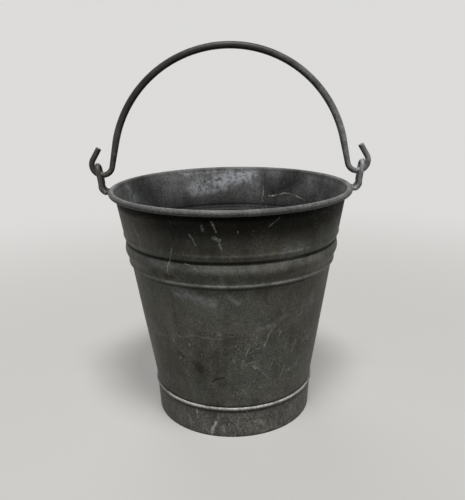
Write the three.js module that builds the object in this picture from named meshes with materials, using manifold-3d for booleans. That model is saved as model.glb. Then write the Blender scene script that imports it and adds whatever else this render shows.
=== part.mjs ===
// A galvanised steel bucket with a wire bail, in millimetres, standing on z = 0.
// The origin is the centre of the base, +Z is up, and the bail swings about an axis along X.
import * as THREE from 'three';
import { mergeVertices, toCreasedNormals } from 'three/addons/utils/BufferGeometryUtils.js';
import Module from 'manifold-3d';

const wasm = await Module();
wasm.setup();

// Overall sizes of the bucket
const rimDiameter = 300;
const bucketHeight = 294;
const sheet = 0.8;
const seatClearance = 0.35;

// Foot ring, and the lower end of the body inside it
const footDiameter = 200;
const footRingHeight = 41.5;
const footEdgeWidth = 5;
const footEdgeRadius = 1.2;
const footBeadRadius = 1.9;
const footBeadStart = -70;
const footRingSpread = 2.6;
const footRingSlack = 0.9;

// Bottom, let in below the top of the foot ring, and the fold that holds it
const floorDrop = 3.5;
const bottomSeamDepth = 9.5;
const bottomCornerRadius = 2;

// Rolled rim
const rollClearance = 0.5;
const rollOpening = 70;
const rimFlare = 0.9;
const rimFlareHeight = 9;

// Swaged band, a groove and ridge above it, and a bead and step below it
const bandDrop = 70.5;
const bandHalfHeight = 10.5;
const bandRise = 2.1;
const grooveDepth = 1.5;
const grooveHalfHeight = 4;
const ridgeRise = 0.7;
const ridgeHalfHeight = 3;
const beadRise = 1.1;
const beadHalfHeight = 2.8;
const beadGap = 1.1;
const stepDepth = 1.5;
const stepHeight = 6;

// Lock seam down the back of the body
const seamAzimuth = 70;
const seamWidth = 7;
const seamRise = 1.1;
const seamEndMargin = 2;

// Rim wire and the two ears bent out of it
const rimWireDiameter = 5.4;
const rimWireButtGap = 1;
const earTopTuck = 1;
const earLegRise = 9;
const earLegReach = 13.4;
const earShinRise = 2;
const earShinTuck = 0.6;
const earFootDip = 2.6;
const earFootReach = 8.4;
const earBendRadius = 4.5;
const earBendTurn = 60;
const earBendDip = 0.3;
const slotClearance = 0.4;

// Bail
const bailDiameter = 8.6;
const hookDiameter = 7;
const hookRadius = 12.6;
const hookReach = 11.2;
const hookTurnPastUpright = 31;
const hookTipLength = 16;
const hookTaperLength = 45;
const hookClearance = 0.6;
const hookSideClearance = 1.4;
const hookPlay = 6.2;
const pivotRise = 18;
const archRise = 8;
const legSpread = 2.6;

// Fineness of the curved surfaces
const turnSegments = 64;
const rollSegments = 9;
const cornerSegments = 3;
const beadSegments = 6;
const ribSlices = 4;
const rimWireSides = 8;
const rimWireRingStep = 8;
const earSteps = 36;
const earBendSteps = 2;
const bailSides = 12;
const bailArchSteps = 64;
const bailLegSteps = 4;
const hookSteps = 16;
const hookTipSteps = 3;
const creaseAngle = 35;

// Colour and sheen of each piece
const finishes = {
  body: { color: 0x57564f, roughness: 0.62, metalness: 0.7 },
  bottom: { color: 0x5f5f5b, roughness: 0.66, metalness: 0.7 },
  foot_ring: { color: 0x5c5a53, roughness: 0.6, metalness: 0.7 },
  rim_wire: { color: 0x4b4a46, roughness: 0.58, metalness: 0.75 },
  bail: { color: 0x4a4a4a, roughness: 0.55, metalness: 0.75 },
};

// Sizes that follow from the ones above
const rimWireRadius = rimWireDiameter / 2;
const rollInnerRadius = rimWireRadius + rollClearance;
const rollOuterRadius = rollInnerRadius + sheet;
const rollCentreHeight = bucketHeight - rollOuterRadius;
const rollCentreRadius = rimDiameter / 2 - rollOuterRadius;
const wallRadiusAtRoll = rollCentreRadius - rollInnerRadius;
const wallRadiusAtFoot = (footDiameter + footRingSpread) / 2;
const floorHeight = footRingHeight - floorDrop;
const bodyBottomHeight = floorHeight - bottomSeamDepth;
const bandCentreHeight = rollCentreHeight - bandDrop;
const bandTopHeight = bandCentreHeight + bandHalfHeight;
const bandBottomHeight = bandCentreHeight - bandHalfHeight;
const grooveCentreHeight = bandTopHeight + grooveHalfHeight / 2;
const ridgeCentreHeight = bandTopHeight + 2 * grooveHalfHeight + ridgeHalfHeight / 2;
const beadCentreHeight = bandBottomHeight - beadHalfHeight - beadGap;
const stepTopHeight = beadCentreHeight - beadHalfHeight / 2;
const stepBottomHeight = stepTopHeight - stepHeight;
const pivotHeight = rollCentreHeight + pivotRise;
const earTopRise = pivotRise + hookDiameter / 2 + hookPlay + rimWireRadius;
const earTopReach = hookReach + hookRadius - hookDiameter / 2 - hookClearance - rimWireRadius;
const earHalfWidth = hookDiameter / 2 + hookSideClearance + rimWireRadius;
const earExitHalfWidth = earHalfWidth + earBendRadius;

const ribs = [
  { centre: bandCentreHeight, halfHeight: bandHalfHeight, rise: bandRise },
  { centre: grooveCentreHeight, halfHeight: grooveHalfHeight, rise: -grooveDepth },
  { centre: ridgeCentreHeight, halfHeight: ridgeHalfHeight, rise: ridgeRise },
  { centre: beadCentreHeight, halfHeight: beadHalfHeight, rise: beadRise },
];

function radians(angle) {
  return THREE.MathUtils.degToRad(angle);
}

// Points on an arc in the plane of a section, from one angle to another in degrees
function arcPoints(centreX, centreY, radius, startAngle, endAngle, segments) {
  const points = [];
  for (let i = 0; i <= segments; i += 1) {
    const angle = radians(startAngle + (i / segments) * (endAngle - startAngle));
    points.push(new THREE.Vector2(centreX + radius * Math.cos(angle), centreY + radius * Math.sin(angle)));
  }
  return points;
}

// Keeps only the shared positions, so that the mesh is one closed skin
function weld(geometry) {
  const bare = geometry.clone();
  bare.deleteAttribute('normal');
  bare.deleteAttribute('uv');
  return mergeVertices(bare);
}

function toSolid(geometry) {
  const skin = weld(geometry);
  const vertProperties = new Float32Array(skin.attributes.position.array);
  const triVerts = new Uint32Array(skin.index.array);
  return new wasm.Manifold(new wasm.Mesh({ numProp: 3, vertProperties, triVerts }));
}

function toGeometry(solid) {
  const mesh = solid.getMesh();
  const geometry = new THREE.BufferGeometry();
  geometry.setAttribute('position', new THREE.BufferAttribute(mesh.vertProperties, mesh.numProp));
  geometry.setIndex(new THREE.BufferAttribute(mesh.triVerts, 1));
  return geometry;
}

// Revolves a closed section of (radius, height) points about the bucket's axis
function revolve(section) {
  const ring = [...section];
  if (THREE.ShapeUtils.isClockWise(ring)) {
    ring.reverse();
  }
  ring.push(ring[0].clone());
  const geometry = new THREE.LatheGeometry(ring, turnSegments);
  geometry.rotateX(Math.PI / 2);
  return geometry;
}

// Curves joined end to end, each drawn with its own number of even steps
class SteppedCurve extends THREE.Curve {
  constructor(stretches) {
    super();
    this.stretches = stretches;
    this.steps = stretches.reduce((sum, stretch) => sum + stretch.steps, 0);
  }

  getPoint(t, target = new THREE.Vector3()) {
    let left = t * this.steps;
    let k = 0;
    while (k < this.stretches.length - 1 && left > this.stretches[k].steps) {
      left -= this.stretches[k].steps;
      k += 1;
    }
    return this.stretches[k].curve.getPointAt(Math.min(1, left / this.stretches[k].steps), target);
  }

  getPointAt(u, target) {
    return this.getPoint(u, target);
  }

  getTangentAt(u, target) {
    return this.getTangent(u, target);
  }

  getSpacedPoints() {
    return this.getPoints(this.steps);
  }
}

// A round wire along a stepped curve, with flat cut ends
function wire(curve, radius, sides) {
  const section = new THREE.Shape(arcPoints(0, 0, radius, 0, 360, sides).slice(0, sides));
  return new THREE.ExtrudeGeometry(section, { extrudePath: curve, steps: curve.steps });
}

// Outer radius of the body's sheet: a taper, drawn in below the step, and swelled by the ribs
function wallRadius(z) {
  const share = (z - footRingHeight) / (rollCentreHeight - footRingHeight);
  const taper = wallRadiusAtFoot + share * (wallRadiusAtRoll - rimFlare - wallRadiusAtFoot);
  const flareShare = THREE.MathUtils.smoothstep(z, rollCentreHeight - rimFlareHeight, rollCentreHeight);
  const flare = flareShare * rimFlare;
  const belowStep = 1 - THREE.MathUtils.smoothstep(z, stepBottomHeight, stepTopHeight);
  const drawnIn = stepDepth * Math.min(1, (z - footRingHeight) / (stepBottomHeight - footRingHeight));
  let radius = taper + flare - belowStep * drawnIn;
  for (const rib of ribs) {
    const offset = (z - rib.centre) / rib.halfHeight;
    if (Math.abs(offset) < 1) {
      radius += (rib.rise * (1 + Math.cos(Math.PI * offset))) / 2;
    }
  }
  return radius;
}

// Heights at which the body's wall is drawn, close together only where it is ribbed or flared
function wallHeights(lowest) {
  const heights = [lowest, stepBottomHeight, stepTopHeight, rollCentreHeight - rimFlareHeight];
  heights.push(rollCentreHeight - rimFlareHeight / 2, rollCentreHeight);
  for (const rib of ribs) {
    for (let i = 0; i <= ribSlices; i += 1) {
      heights.push(rib.centre + rib.halfHeight * ((2 * i) / ribSlices - 1));
    }
  }
  heights.sort((a, b) => a - b);
  return heights.filter((z, i) => i === 0 || z - heights[i - 1] > sheet);
}

// The body's section: outer wall, rolled rim, inner wall, and the fold round the bottom's flange
function bodySection() {
  const foldFloor = bodyBottomHeight + sheet;
  const foldTop = floorHeight - bottomCornerRadius - sheet - seatClearance;
  const foldReach = 2 * sheet + 2 * seatClearance;
  const outer = wallHeights(bodyBottomHeight).map((z) => new THREE.Vector2(wallRadius(z), z));
  const inner = wallHeights(foldFloor).map((z) => new THREE.Vector2(wallRadius(z) - sheet, z));
  outer.pop();
  inner.pop();
  const rollEnd = rollOpening - 180;
  const [rollX, rollZ] = [rollCentreRadius, rollCentreHeight];
  const rollInside = arcPoints(rollX, rollZ, rollInnerRadius, 180, rollEnd, rollSegments);
  const rollOutside = arcPoints(rollX, rollZ, rollOuterRadius, rollEnd, 180, rollSegments);
  const fold = [
    new THREE.Vector2(wallRadius(foldFloor) - foldReach, foldFloor),
    new THREE.Vector2(wallRadius(foldTop) - foldReach, foldTop),
    new THREE.Vector2(wallRadius(foldTop) - foldReach - sheet, foldTop),
    new THREE.Vector2(wallRadius(bodyBottomHeight) - foldReach - sheet, bodyBottomHeight),
  ];
  return [...outer, ...rollInside, ...rollOutside, ...inner.reverse(), ...fold];
}

// The lock seam: a raised strip that follows the wall down the back
function lockSeam() {
  const lowest = footRingHeight + seamEndMargin;
  const highest = rollCentreHeight - rollOuterRadius - seamEndMargin;
  const heights = [...wallHeights(lowest).filter((z) => z < highest), highest];
  const outer = heights.map((z) => new THREE.Vector2(wallRadius(z) + seamRise, z));
  const inner = heights.map((z) => new THREE.Vector2(wallRadius(z) - sheet / 2, z));
  const strip = new THREE.ExtrudeGeometry(new THREE.Shape([...outer, ...inner.reverse()]), {
    depth: seamWidth,
    steps: 1,
    bevelEnabled: false,
  });
  strip.translate(0, 0, -seamWidth / 2);
  strip.rotateX(Math.PI / 2);
  strip.rotateZ(radians(seamAzimuth));
  return strip;
}

// The space that an ear's wire takes up on its way out through the roll, with its clearance
function earSlot(azimuth) {
  const path = new SteppedCurve([{ curve: earLoop(azimuth), steps: earSteps }]);
  return toSolid(wire(path, rimWireRadius + slotClearance, rimWireSides));
}

function body() {
  const wall = toSolid(revolve(bodySection()));
  const seamed = wall.add(toSolid(lockSeam()));
  return toGeometry(seamed.subtract(earSlot(0)).subtract(earSlot(180)));
}

function bottom() {
  const flangeEnd = bodyBottomHeight + sheet + seatClearance;
  const bendHeight = floorHeight - bottomCornerRadius;
  const inset = sheet + seatClearance;
  const bendX = wallRadius(bendHeight) - inset - bottomCornerRadius;
  const outerBend = arcPoints(bendX, bendHeight, bottomCornerRadius, 0, 90, cornerSegments);
  const innerBend = arcPoints(bendX, bendHeight, bottomCornerRadius - sheet, 90, 0, cornerSegments);
  const section = [
    new THREE.Vector2(0, floorHeight - sheet),
    ...innerBend,
    new THREE.Vector2(wallRadius(flangeEnd) - inset - sheet, flangeEnd),
    new THREE.Vector2(wallRadius(flangeEnd) - inset, flangeEnd),
    ...outerBend,
    new THREE.Vector2(0, floorHeight),
  ];
  const geometry = new THREE.LatheGeometry(section, turnSegments);
  geometry.rotateX(Math.PI / 2);
  return geometry;
}

// A band round the lower end of the body: turned-in lower edge, nearly upright wall, rolled bead on top
function footRing() {
  const footRadius = footDiameter / 2;
  const topInside = wallRadius(footRingHeight) + seatClearance;
  const beadHeight = footRingHeight - footBeadRadius;
  const seatEnd = beadHeight - footBeadRadius - sheet;
  const kneeRadius = wallRadius(bodyBottomHeight) + seatClearance + footRingSlack;
  const edgeX = footRadius - footEdgeRadius;
  const edge = arcPoints(edgeX, footEdgeRadius, footEdgeRadius, -90, 0, cornerSegments);
  const bead = arcPoints(topInside, beadHeight, footBeadRadius, footBeadStart, 90, beadSegments);
  return revolve([
    new THREE.Vector2(footRadius - footEdgeWidth, 0),
    ...edge,
    new THREE.Vector2(kneeRadius + sheet, bodyBottomHeight),
    ...bead,
    new THREE.Vector2(wallRadius(seatEnd) + seatClearance, seatEnd),
    new THREE.Vector2(kneeRadius, bodyBottomHeight),
    new THREE.Vector2(footRadius - sheet, footEdgeRadius),
    new THREE.Vector2(footRadius - footEdgeWidth, sheet),
  ]);
}

// Part of the rim wire's ring, between two azimuths in degrees
class RingArc extends THREE.Curve {
  constructor(startAngle, endAngle) {
    super();
    this.startAngle = startAngle;
    this.endAngle = endAngle;
  }

  getPoint(t, target = new THREE.Vector3()) {
    const angle = radians(this.startAngle + t * (this.endAngle - this.startAngle));
    const flat = [rollCentreRadius * Math.cos(angle), rollCentreRadius * Math.sin(angle)];
    return target.set(...flat, rollCentreHeight);
  }
}

// One ear: out of the roll in a bend, down through a foot, up a leg, over the top and back the same way
function earLoop(azimuth) {
  const exitReach = Math.sqrt(rollCentreRadius ** 2 - earExitHalfWidth ** 2) - rollCentreRadius;
  const bendReach = exitReach + earBendRadius;
  const bend = arcPoints(bendReach, earExitHalfWidth, earBendRadius, 180, 180 + earBendTurn, earBendSteps);
  const [bendStart, bendMiddle, bendEnd] = bend;
  const legTopRise = earTopRise - earHalfWidth;
  const legTopReach = (earLegReach + earTopReach) / 2;
  const shoulder = Math.SQRT1_2 * earHalfWidth;
  const half = [
    [bendStart.x, bendStart.y, 0],
    [bendMiddle.x, bendMiddle.y, -earBendDip],
    [bendEnd.x, bendEnd.y, -earFootDip / 2],
    [earFootReach - earFootDip, earHalfWidth, -earFootDip],
    [earFootReach, earHalfWidth, -earFootDip],
    [earLegReach - earShinTuck, earHalfWidth, earShinRise],
    [earLegReach, earHalfWidth, earLegRise],
    [legTopReach, earHalfWidth, legTopRise],
    [earTopReach - earTopTuck, shoulder, legTopRise + shoulder],
  ];
  const top = [earTopReach, 0, earTopRise];
  const back = half.map(([reach, along, rise]) => [reach, -along, rise]);
  const points = [...back, top, ...half.reverse()].map(([reach, along, rise]) => {
    const point = new THREE.Vector3(rollCentreRadius + reach, along, rollCentreHeight + rise);
    return point.applyAxisAngle(new THREE.Vector3(0, 0, 1), radians(azimuth));
  });
  return new THREE.CatmullRomCurve3(points);
}

// One wire: a ring that starts and ends behind the seam and stands up as an ear at the left and the right
function rimWire() {
  const exitAngle = THREE.MathUtils.radToDeg(Math.asin(earExitHalfWidth / rollCentreRadius));
  const buttAngle = THREE.MathUtils.radToDeg(rimWireButtGap / 2 / rollCentreRadius);
  const arc = (startAngle, endAngle) => {
    const length = rollCentreRadius * radians(endAngle - startAngle);
    return { curve: new RingArc(startAngle, endAngle), steps: Math.ceil(length / rimWireRingStep) };
  };
  const ear = (azimuth) => ({ curve: earLoop(azimuth), steps: earSteps });
  const path = new SteppedCurve([
    arc(seamAzimuth + buttAngle, 180 - exitAngle),
    ear(180),
    arc(180 + exitAngle, 360 - exitAngle),
    ear(0),
    arc(exitAngle, seamAzimuth - buttAngle),
  ]);
  return wire(path, rimWireRadius, rimWireSides);
}

// A flat curve lifted into the upright plane through the bail's pivot axis
class UprightCurve extends THREE.Curve {
  constructor(flat) {
    super();
    this.flat = flat;
  }

  getPoint(t, target = new THREE.Vector3()) {
    const point = this.flat.getPoint(t);
    return target.set(point.x, 0, point.y);
  }
}

// The bail's centreline: tip, hook and leg at the left, the arch, then leg, hook and tip at the right.
// Each leg is the straight line that touches both the arch and the hook.
function bailCurve() {
  const hookX = rollCentreRadius + hookReach;
  const hookZ = pivotHeight + hookRadius;
  const archZ = pivotHeight + archRise;
  const archRadius = hookX - hookRadius - legSpread;
  const rise = hookZ - archZ;
  const centreDistance = Math.hypot(hookX, rise);
  const legAngle = Math.atan2(rise, hookX) + Math.acos((archRadius + hookRadius) / centreDistance);
  const tipAngle = radians(hookTurnPastUpright);
  const hookEndX = hookX + hookRadius * Math.cos(tipAngle);
  const hookEndZ = hookZ + hookRadius * Math.sin(tipAngle);
  const tipX = hookEndX - hookTipLength * Math.sin(tipAngle);
  const tipZ = hookEndZ + hookTipLength * Math.cos(tipAngle);
  const outline = new THREE.Path();
  outline.moveTo(-tipX, tipZ);
  outline.lineTo(-hookEndX, hookEndZ);
  outline.absarc(-hookX, hookZ, hookRadius, Math.PI - tipAngle, 2 * Math.PI - legAngle, false);
  outline.absarc(0, archZ, archRadius, Math.PI - legAngle, legAngle, true);
  outline.absarc(hookX, hookZ, hookRadius, Math.PI + legAngle, 2 * Math.PI + tipAngle, false);
  outline.lineTo(tipX, tipZ);
  const sideSteps = [hookTipSteps, hookSteps, bailLegSteps];
  const steps = [...sideSteps, bailArchSteps, ...sideSteps.reverse()];
  const stretches = outline.curves.map((flat, i) => ({ curve: new UprightCurve(flat), steps: steps[i] }));
  return new SteppedCurve(stretches);
}

// Draws a wire's section down towards both ends of its curve
function taperEnds(geometry, curve, endShare, endLength, taperLength) {
  const centres = curve.getSpacedPoints();
  const fromStart = [0];
  for (let k = 1; k < centres.length; k += 1) {
    fromStart.push(fromStart[k - 1] + centres[k].distanceTo(centres[k - 1]));
  }
  const length = fromStart[centres.length - 1];
  const position = geometry.attributes.position;
  const vertex = new THREE.Vector3();
  for (let i = 0; i < position.count; i += 1) {
    vertex.fromBufferAttribute(position, i);
    const distances = centres.map((centre) => vertex.distanceToSquared(centre));
    const nearest = distances.indexOf(Math.min(...distances));
    const fromEnd = Math.min(fromStart[nearest], length - fromStart[nearest]);
    const share = THREE.MathUtils.smoothstep(fromEnd, endLength, endLength + taperLength);
    const scale = THREE.MathUtils.lerp(endShare, 1, share);
    vertex.sub(centres[nearest]).multiplyScalar(scale).add(centres[nearest]);
    position.setXYZ(i, vertex.x, vertex.y, vertex.z);
  }
  return geometry;
}

function bail() {
  const curve = bailCurve();
  const plain = wire(curve, bailDiameter / 2, bailSides);
  const hookLength = hookTipLength + Math.PI * hookRadius;
  return taperEnds(plain, curve, hookDiameter / bailDiameter, hookLength, hookTaperLength);
}

function piece(name, geometry) {
  const material = new THREE.MeshStandardMaterial(finishes[name]);
  const mesh = new THREE.Mesh(toCreasedNormals(weld(geometry), radians(creaseAngle)), material);
  mesh.name = name;
  return mesh;
}

const bucket = new THREE.Group();
bucket.add(piece('body', body()));
bucket.add(piece('bottom', bottom()));
bucket.add(piece('foot_ring', footRing()));
bucket.add(piece('rim_wire', rimWire()));
bucket.add(piece('bail', bail()));

export default bucket;
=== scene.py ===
"""Weathered galvanised bucket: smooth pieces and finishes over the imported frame."""
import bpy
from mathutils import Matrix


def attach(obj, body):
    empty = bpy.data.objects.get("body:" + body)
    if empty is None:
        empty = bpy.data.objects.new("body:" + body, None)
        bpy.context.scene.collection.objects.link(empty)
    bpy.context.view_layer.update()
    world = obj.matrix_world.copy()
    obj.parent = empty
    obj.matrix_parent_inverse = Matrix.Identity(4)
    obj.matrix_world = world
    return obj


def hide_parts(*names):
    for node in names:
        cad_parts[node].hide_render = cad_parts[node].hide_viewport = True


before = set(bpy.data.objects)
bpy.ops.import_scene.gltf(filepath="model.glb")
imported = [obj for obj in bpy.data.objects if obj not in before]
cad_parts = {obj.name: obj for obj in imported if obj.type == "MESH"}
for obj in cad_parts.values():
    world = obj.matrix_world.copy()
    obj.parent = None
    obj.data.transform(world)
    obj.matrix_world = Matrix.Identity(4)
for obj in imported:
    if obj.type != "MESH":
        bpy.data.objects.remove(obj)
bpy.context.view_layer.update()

from types import SimpleNamespace

import bmesh
import bpy
import numpy as np
from bpy.props import FloatProperty, FloatVectorProperty, PointerProperty
from mathutils import Matrix, Vector

bl_info = {
    "name": "Weathered Bucket",
    "version": (1, 0, 0),
    "blender": (4, 5, 0),
    "location": "3D View > Sidebar > Bucket",
    "description": "Builds a weathered galvanised bucket with a rolled rim and a swinging wire bail",
    "category": "Add Mesh",
}

MM = 0.001
SHARP_ANGLE = 40
MERGE_DISTANCE = 0.001 * MM

# Wall of the body: its lower end, its draw-in below the step, and its flare under the rim
RIM_HEIGHT = 290 * MM
BODY_LOWEST = 28.5 * MM
FOOT_TOP = 41.5 * MM
WALL_AT_FOOT = 101.3 * MM
STEP_DEPTH = 1.5 * MM
STEP_BOTTOM = 197.7 * MM
STEP_TOP = 203.7 * MM
FLARE = 0.9 * MM
FLARE_HEIGHT = 9 * MM

# Ribs of the body: centre height, half height and rise, and the heights between which the rows lie closer
BAND = (219.5 * MM, 10.5 * MM, 2.1 * MM)
GROOVE = (232 * MM, 4 * MM, -1.5 * MM)
RIDGE = (239.5 * MM, 3 * MM, 0.7 * MM)
BEAD = (204.5 * MM, 2.8 * MM, 1.1 * MM)
RIBS_FROM = 190 * MM
RIBS_TO = 246 * MM

# Rolled rim and the fold under the bottom
ROLL_RADIUS = 3.12 * MM
ROLL_END = -110
ROLL_LIP = 128
FOLD_RADIUS = 1.15 * MM
FOLD_TOP = 34.85 * MM

# Lock seam down the back. The columns lie closer over SEAM_SPAN degrees to each side of it
SEAM_AZIMUTH = 70
SEAM_SPAN = 2.4
SEAM_HALF_WIDTH = 3.5 * MM
SEAM_RISE = 1.1 * MM
SEAM_EDGE = 1 * MM
SEAM_LOWEST = 44 * MM
SEAM_HIGHEST = 283 * MM
SEAM_RUNOUT = 3 * MM

# Soft dents: waves round the wall, radians in a rise of DENT_RISE, and phase of each of the summed waves
DENT_WAVES = ((3, 2.1, 0.7), (5, -3.3, 1.9), (8, 4.7, 4.2), (13, -6.1, 2.8))
DENT_RISE = 100 * MM
DENTS_FROM = (45 * MM, 70 * MM)
DENTS_TO = (250 * MM, 282 * MM)

# Rows and columns of the body's mesh
FOLD_ROWS = 9
WALL_ROWS = 34
RIB_ROWS = 64
NECK_ROWS = 14
LIP_ROWS = 8
ROLL_ROWS = 22
BODY_COLUMNS = 264
SEAM_COLUMNS = 25

# Foot ring: edge, bead, the neck under the bead, and the seat round the body, with the rows of its mesh
FOOT_EDGE_INNER = 95 * MM
FOOT_EDGE_RADIUS = 1.2 * MM
FOOT_BEAD_RADIUS = 1.9 * MM
FOOT_BEAD_TURN = (-62, 88)
FOOT_NECK_OUT = 0.35 * MM
FOOT_NECK_DROP = 0.5 * MM
FOOT_WALL_SPAN = (0.04, 0.98)
FOOT_SEAT = 0.35 * MM
FOOT_SEAT_BELOW_TOP = 0.3 * MM
FOOT_SEAT_ABOVE_BODY = 4 * MM
FOOT_KNEE = 100.45 * MM
FOOT_EDGE_ROWS = 6
FOOT_WALL_ROWS = 14
FOOT_BEAD_ROWS = 16
FOOT_SEAT_ROWS = 8
FOOT_COLUMNS = 288

# Bottom, with the part of its radius over which it sags
BOTTOM_TOP = 38 * MM
BOTTOM_CORNER = 2 * MM
BOTTOM_SAG = 0.9 * MM
BOTTOM_SAG_SPAN = (0.3, 0.97)
FLANGE_END = 29.65 * MM
FLANGE_INSET = 1.15 * MM
BOTTOM_ROWS = 24
UNDER_CORNER_ROWS = 6
OVER_CORNER_ROWS = 8
BOTTOM_COLUMNS = 144

# Ears: reach past the roll's middle, distance along the rim, and rise, in metres
EAR_HALF = (
    (-0.5 * MM, 12.1 * MM, 0),
    (0.1 * MM, 9.85 * MM, -0.3 * MM),
    (1.75 * MM, 8.2 * MM, -1.3 * MM),
    (5.8 * MM, 7.6 * MM, -2.6 * MM),
    (8.4 * MM, 7.6 * MM, -2.6 * MM),
    (12.8 * MM, 7.6 * MM, 2 * MM),
    (13.4 * MM, 7.6 * MM, 9 * MM),
    (15.2 * MM, 7.6 * MM, 22.8 * MM),
    (16 * MM, 5.37 * MM, 28.17 * MM),
)
EAR_TOP = (17 * MM, 0, 30.4 * MM)
EAR_STEPS = 7
EAR_AZIMUTHS = (0, 180)
EAR_HINT_SHARE = 0.3
SLOT_CLEARANCE = 0.35 * MM

# Rim wire: angles from an ear's middle to where the ring ends, and from the seam to each end of the wire
EAR_EXIT_ANGLE = 4.754
BUTT_ANGLE = 0.196
RING_STEPS_PER_DEGREE = 0.65
WIRE_SIDES = 18
SLOT_SIDES = 24

# Bail
HOOK_REACH = 11.1 * MM
HOOK_TURN = 31
HOOK_TIP = 16 * MM
PIVOT_RISE = 18 * MM
ARCH_RISE = 8 * MM
LEG_SPREAD = 2.6 * MM
TAPER_LENGTH = 45 * MM
CUT_BEVEL = 0.5 * MM
TIP_STEPS = 12
HOOK_STEPS = 60
LEG_STEPS = 16
ARCH_STEPS = 90
BAIL_SIDES = 24

# Where the photograph was taken from, in metres and radians, and its focal length in pixels
CAMERA_PLACE = (0.00196, -0.7375, 0.4265)
CAMERA_YAW = -0.001
CAMERA_PITCH = 0.2872
CAMERA_ROLL = -0.018
FOCAL_PIXELS = 600
IMAGE_WIDTH = 465
SENSOR_WIDTH = 36
CLIP_START = 0.01

# Lamps above the front and behind the bucket: power, size and place, and the point they aim at
LAMP_POWER = 40
LAMP_SIZE = 0.5
LAMP_PLACE = (0.1, -0.72, 2.1)
BACK_LAMP_POWER = 12
BACK_LAMP_SIZE = 1.2
BACK_LAMP_PLACE = (-0.4, 1.5, 1.5)
LAMP_AIM = (0, 0, 0.2)
WARM_WHITE = (1, 0.99, 0.97)

# Floor and backdrop: the floor's mesh and shine, the backdrop's light on the bucket and its brightness as
# seen, the share of the floor's light that reaches the bucket, and the span of distances over which the
# floor blends into the backdrop, with the backdrop's share at each end
FLOOR_FIRST_RING = 0.05
FLOOR_REACH = 12
FLOOR_RINGS = 24
FLOOR_COLUMNS = 96
FLOOR_SPECULAR = 0.1
FLOOR_ROUGHNESS = 0.8
WORLD_LIGHT = 0.06
WORLD_SEEN = 0.72
FLOOR_BOUNCE = 0.25
GLOW_SPAN = (0.2, 1.3)
GLOW_REACH = (0.3, 1)
SEEN_BY = ("Is Camera Ray", "Is Glossy Ray", "Is Transmission Ray")

# Colour sockets of a Mix node, by number because its inputs share their names
MIX_FIRST = 6
MIX_SECOND = 7
MIX_RESULT = 2

# Radius at which the wall is unrolled for its painted marks, and the slant of the scuffs near its foot
PATTERN_RADIUS = 120 * MM
SCUFF_SLANT = 0.45

# Painted marks, each with its start and end (azimuth in degrees, height in millimetres), width and strength.
# Scratches and flakes of white oxide on the outside
OUTSIDE_MARKS = (
    ((-102.5, 275), (-101.9, 269.5), 3.6, 0.85),
    ((-97.8, 280), (-96.4, 270), 3.2, 0.9),
    ((-97.3, 262.8), (-95.4, 260), 7, 0.85),
    ((-95.4, 257.5), (-94.4, 249.5), 3.4, 0.85),
    ((-108.4, 265), (-105.4, 252), 2.2, 0.8),
    ((-118.2, 247), (-121.9, 223.4), 2.2, 0.75),
    ((-121.9, 223.4), (-122.4, 211), 2.1, 0.7),
    ((-112.4, 230.4), (-108.7, 226.3), 1.5, 0.6),
    ((-108.7, 226.3), (-103.4, 219.7), 1.5, 0.55),
    ((-68.9, 282), (-73.6, 271.5), 2.6, 0.5),
    ((-86.8, 268.4), (-86.8, 266.8), 3.4, 1.0),
    ((-77.4, 99), (-76.6, 96.5), 6, 1.0),
    ((-75.5, 96), (-61.1, 64.5), 1.7, 0.55),
    ((-72.2, 121), (-68.3, 145), 3.6, 0.85),
    ((-58.9, 75), (-56.3, 91), 2.2, 0.75),
    ((-36.3, 112), (-34, 126), 2.8, 0.85),
    ((-46.5, 84), (-43.5, 93), 2.2, 0.7),
    ((-83.5, 66), (-80, 58), 2.6, 0.65),
    ((-63.5, 131), (-61.5, 139), 2.4, 0.6),
    ((-51.6, 108), (-48.1, 124.5), 2, 0.65),
    ((-67.2, 92), (-64.5, 107), 1.8, 0.6),
    ((-128.1, 129.5), (-127.6, 125.5), 4, 0.9),
    ((-116.6, 127), (-116.1, 124.5), 4, 0.85),
    ((-108, 159), (-107.6, 157), 3, 0.8),
)

# Places where the painted highlight on the rolled rim is brightest, over its rubbed zinc
RIM_HIGHLIGHTS = (
    ((-101, 290), (-84, 290), 26, 1.0),
    ((-74, 290), (-66, 290), 20, 0.7),
    ((-133, 290), (-128, 290), 20, 0.5),
)

# Soft pale bloom on the outside
OUTSIDE_BLOOM = (
    ((-121, 193.5), (-110, 187.5), 19, 0.75),
    ((-110, 189), (-99, 183), 17, 0.65),
    ((-92, 194), (-88, 183), 13, 0.6),
    ((-98.5, 148), (-97.5, 140), 11, 0.5),
    ((-147, 128), (-116.4, 137.2), 4.4, 0.36),
    ((-116.4, 137.2), (-89.4, 139.3), 4, 0.42),
    ((-75, 147), (-60, 159), 14, 0.35),
    ((-141.8, 267), (-138, 240), 7, 0.5),
    ((-63, 240), (-55, 242), 30, 0.4),
    ((-40, 208), (-30, 206), 34, 0.42),
    ((-50, 150), (-40, 170), 30, 0.32),
    ((-95, 215), (-93, 205), 11, 0.5),
)

# Brown stains on the outside
OUTSIDE_STAINS = (
    ((-111.8, 99), (-110, 94.5), 19, 1.0),
    ((-124.2, 109.5), (-122.4, 106), 12, 1.0),
    ((-103.8, 78.4), (-96, 85.8), 5.5, 1.0),
    ((-135, 214), (-121, 213), 15, 0.75),
    ((-120, 250), (-100, 246), 28, 0.5),
)
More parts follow.
